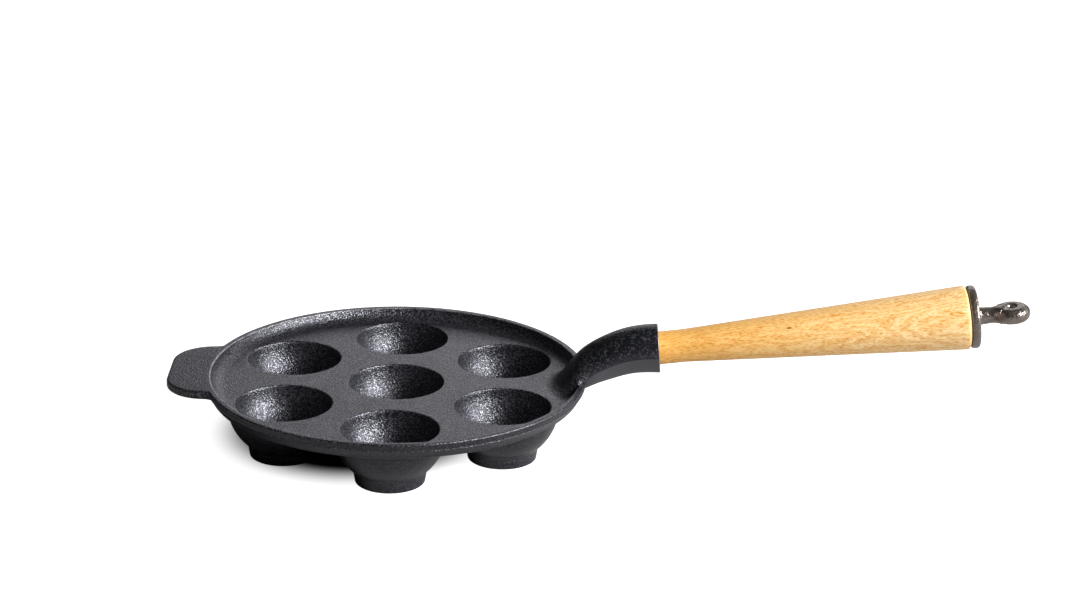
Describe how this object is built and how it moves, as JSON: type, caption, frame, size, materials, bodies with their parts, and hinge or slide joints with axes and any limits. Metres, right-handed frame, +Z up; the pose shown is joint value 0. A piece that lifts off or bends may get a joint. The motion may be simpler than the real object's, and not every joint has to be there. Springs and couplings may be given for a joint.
{
  "type": "aebleskiver pan",
  "caption": "Cast iron pan with round wells in a rimmed plate, a flat helper tab, a foot under each well, and a flared beech grip with a hanging eye.",
  "frame": {"origin": "middle of the pan on the surface it stands on, which is the middle of the centre foot's flat base", "axes": "+Z up, +X from the pan's middle towards the grip and the hanging eye, with the helper tab at -X"},
  "size_m": [0.4919, 0.22, 0.0938],
  "materials": {
    "cast_iron": "seasoned, fine sand-cast grain",
    "beech": "oiled, smooth turned",
    "steel": "plain drawn rod",
    "cap_iron": "seasoned, slightly glossy"
  },
  "bodies": {
    "root": {"pan_casting": "cast_iron", "handle_grip": "beech", "tie_rod": "steel", "end_cap": "cap_iron"}
  },
  "joints": []
}
